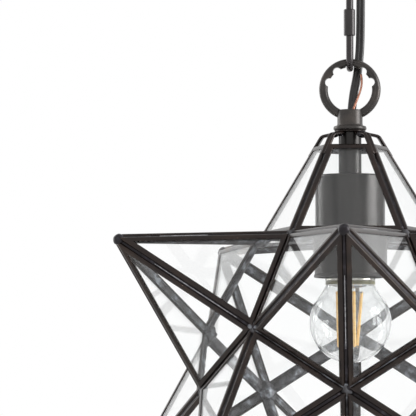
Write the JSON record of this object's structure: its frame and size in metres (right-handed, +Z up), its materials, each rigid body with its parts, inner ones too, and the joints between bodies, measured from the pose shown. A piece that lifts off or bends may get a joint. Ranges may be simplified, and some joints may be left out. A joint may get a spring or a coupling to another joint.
{
  "type": "star pendant light",
  "caption": "Leaded glass star pendant lamp that hangs from a ceiling canopy on a short chain, with a clear bulb inside and a hinged bottom point.",
  "frame": {"origin": "centre of the ceiling face, between the crossbar's two fixing holes", "axes": "+Z up along the stem, towards the ceiling; -Y towards the viewer; +X to the viewer's right"},
  "size_m": [0.2594, 0.2724, 0.4872],
  "materials": {
    "painted_steel": "satin dark bronze paint",
    "chain_steel": "satin dark bronze paint, worn at the edges",
    "plated_steel": "zinc plated",
    "ground_green": "green dyed zinc",
    "channel": "dark bronze patina",
    "solder": "rough, darkened solder",
    "pane_glass": "clear, polished",
    "moulded_black": "moulded, low gloss",
    "brass_contact": "plain brass",
    "cap_metal": "plated, bright",
    "bulb_glass": "clear, polished",
    "filament": "yellow phosphor coating",
    "support_wire": "bare wire",
    "cord_sleeve": "smooth black",
    "copper": "bare copper"
  },
  "bodies": {
    "ceiling_part": {"ceiling_canopy": "painted_steel", "mounting_crossbar": "plated_steel", "ground_screw": "ground_green", "canopy_nipple": "plated_steel", "crossbar_nuts": "plated_steel", "canopy_loop": "painted_steel", "power_cord": "cord_sleeve"},
    "upper_link": {"upper_chain_link": "chain_steel"},
    "lower_link": {"lower_chain_link": "chain_steel"},
    "quick_link": {"quick_link": "chain_steel"},
    "sleeve": {"quick_link_sleeve": "chain_steel"},
    "star": {"fixture_loop": "painted_steel", "hanger_crown": "channel", "stem_tube": "painted_steel", "stem_nipple": "plated_steel", "socket_cup": "painted_steel", "cup_nut": "plated_steel", "lampholder": "moulded_black", "screw_shell": "brass_contact", "centre_contact": "brass_contact", "ground_wire": "copper", "star_solder": "solder", "frame_hinge_leaf": "channel", "door_hinge_pin": "channel", "top_point_cames": "channel", "upper_point_1_cames": "channel", "upper_point_2_cames": "channel", "upper_point_3_cames": "channel", "upper_point_4_cames": "channel", "upper_point_5_cames": "channel", "lower_point_1_cames": "channel", "lower_point_2_cames": "channel", "lower_point_3_cames": "channel", "lower_point_4_cames": "channel", "lower_point_5_cames": "channel", "top_point_glass": "pane_glass", "upper_point_1_glass": "pane_glass", "upper_point_2_glass": "pane_glass", "upper_point_3_glass": "pane_glass", "upper_point_4_glass": "pane_glass", "upper_point_5_glass": "pane_glass", "lower_point_1_glass": "pane_glass", "lower_point_2_glass": "pane_glass", "lower_point_3_glass": "pane_glass", "lower_point_4_glass": "pane_glass", "lower_point_5_glass": "pane_glass"},
    "bulb": {"bulb_cap": "cap_metal", "bulb_insulator": "moulded_black", "bulb_glass": "bulb_glass", "bulb_mount": "bulb_glass", "bulb_filaments": "filament", "filament_supports": "support_wire"},
    "door": {"bottom_point_cames": "channel", "bottom_point_glass": "pane_glass", "bottom_point_solder": "solder", "door_hinge_leaf": "channel"}
  },
  "joints": [
    {"name": "upper_link_swing", "type": "hinge", "parent": "ceiling_part", "child": "upper_link", "pos_m": [0, 0, -0.06], "axis": [0, 1, 0], "range_deg": [-30, 30], "deforming": ["power_cord"]},
    {"name": "lower_link_swing", "type": "hinge", "parent": "upper_link", "child": "lower_link", "pos_m": [0, 0, -0.0905], "axis": [1, 0, 0], "range_deg": [-30, 30], "deforming": ["power_cord"]},
    {"name": "quick_link_swing", "type": "hinge", "parent": "lower_link", "child": "quick_link", "pos_m": [0, 0, -0.1249], "axis": [1, 0, 0], "range_deg": [-30, 30], "deforming": ["power_cord"]},
    {"name": "star_swing", "type": "hinge", "parent": "quick_link", "child": "star", "pos_m": [0, 0, -0.1711], "axis": [0, 1, 0], "range_deg": [-30, 30], "deforming": ["power_cord"]},
    {"name": "sleeve_slide", "type": "slide", "parent": "quick_link", "child": "sleeve", "axis": [0, 0, 1], "range_m": [0, 0.0095]},
    {"name": "bulb_slide", "type": "slide", "parent": "star", "child": "bulb", "axis": [0, 0, -1], "range_m": [0, 0.027]},
    {"name": "door_hinge", "type": "hinge", "parent": "star", "child": "door", "pos_m": [0, 0.04492, -0.40788], "axis": [1, 0, 0], "range_deg": [0, 110]}
  ]
}
